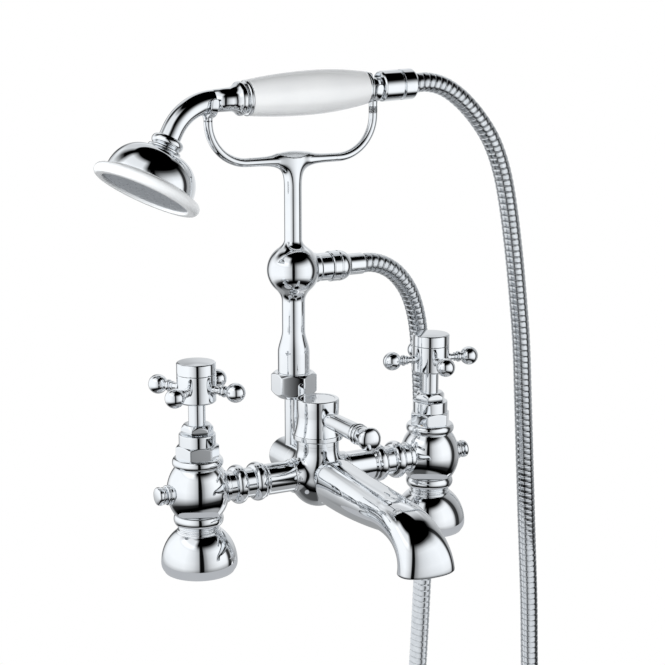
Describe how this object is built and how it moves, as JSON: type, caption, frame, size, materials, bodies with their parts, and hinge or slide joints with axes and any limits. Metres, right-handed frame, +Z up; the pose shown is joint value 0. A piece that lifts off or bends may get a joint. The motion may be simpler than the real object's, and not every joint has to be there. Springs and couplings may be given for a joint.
{
  "type": "bath shower mixer",
  "caption": "Deck-mounted bath mixer with crosshead handles, a curved spout, a lever diverter and a cradle that holds a telephone-style handset on a flexible hose.",
  "frame": {"origin": "on the deck plane, midway between the two legs", "axes": "+Z up, the spout points to -Y, the hot leg is at -X and the cold leg at +X"},
  "size_m": [0.3604, 0.2212, 0.6282],
  "materials": {
    "chrome_plate": "polished chrome plate on brass",
    "hose_steel": "bright interlocked steel strip",
    "white_porcelain": "white glazed porcelain",
    "white_rim": "white moulded, gloss",
    "grey_plate": "grey moulded, satin",
    "disc_ceramic": "lapped alumina ceramic",
    "rubber": "black rubber",
    "brass": "turned brass",
    "screw_steel": "turned stainless steel",
    "flow_plastic": "white moulded"
  },
  "bodies": {
    "root": {"left_leg": "chrome_plate", "right_leg": "chrome_plate", "plugs": "chrome_plate", "plug_washers": "chrome_plate", "left_headgear": "chrome_plate", "right_headgear": "chrome_plate", "glands": "chrome_plate", "fixed_discs": "disc_ceramic", "seat_seals": "rubber", "left_bridge": "chrome_plate", "right_bridge": "chrome_plate", "bridge_seals": "rubber", "body": "chrome_plate", "rear_plug": "chrome_plate", "spout": "chrome_plate", "flow_straightener": "flow_plastic", "diverter_gland": "brass", "lower_riser": "chrome_plate", "union_nut": "chrome_plate", "union_washer": "rubber", "column": "chrome_plate", "cradle": "chrome_plate", "left_fork": "chrome_plate", "right_fork": "chrome_plate", "hose_nut_low": "chrome_plate", "hose_washer_low": "rubber", "hose_ferrule_low": "chrome_plate", "shower_hose": "hose_steel"},
    "hot_handle": {"left_spindle": "chrome_plate", "left_hub": "chrome_plate", "left_arms": "chrome_plate", "left_cap": "chrome_plate", "left_screw": "screw_steel", "left_disc": "disc_ceramic"},
    "cold_handle": {"right_spindle": "chrome_plate", "right_hub": "chrome_plate", "right_arms": "chrome_plate", "right_cap": "chrome_plate", "right_screw": "screw_steel", "right_disc": "disc_ceramic"},
    "diverter": {"diverter_cap": "chrome_plate", "diverter_lever": "chrome_plate", "diverter_spool": "brass", "diverter_screw": "screw_steel"},
    "handset": {"hose_nut_top": "chrome_plate", "hose_washer_top": "rubber", "hose_ferrule_top": "screw_steel", "handset_core": "chrome_plate", "handset_arm": "chrome_plate", "grip_ring_front": "chrome_plate", "grip_ring_back": "chrome_plate", "grip": "white_porcelain", "rose_nut": "chrome_plate", "rose_washer": "rubber", "rose_bell": "chrome_plate", "rose_rim": "white_rim", "rose_plate": "grey_plate"}
  },
  "joints": [
    {"name": "hot_turn", "type": "hinge", "parent": "root", "child": "hot_handle", "pos_m": [-0.09, 0, 0.12], "axis": [0, 0, 1], "range_deg": [0, 90]},
    {"name": "cold_turn", "type": "hinge", "parent": "root", "child": "cold_handle", "pos_m": [0.09, 0, 0.12], "axis": [0, 0, 1], "range_deg": [-90, 0]},
    {"name": "diverter_turn", "type": "hinge", "parent": "root", "child": "diverter", "pos_m": [0, 0, 0.08], "axis": [0, 0, 1], "range_deg": [0, 75]},
    {"name": "handset_lift", "type": "slide", "parent": "root", "child": "handset", "axis": [-0.0401, 0, 0.9992], "range_m": [0, 0.04], "deforming": ["shower_hose"]}
  ]
}
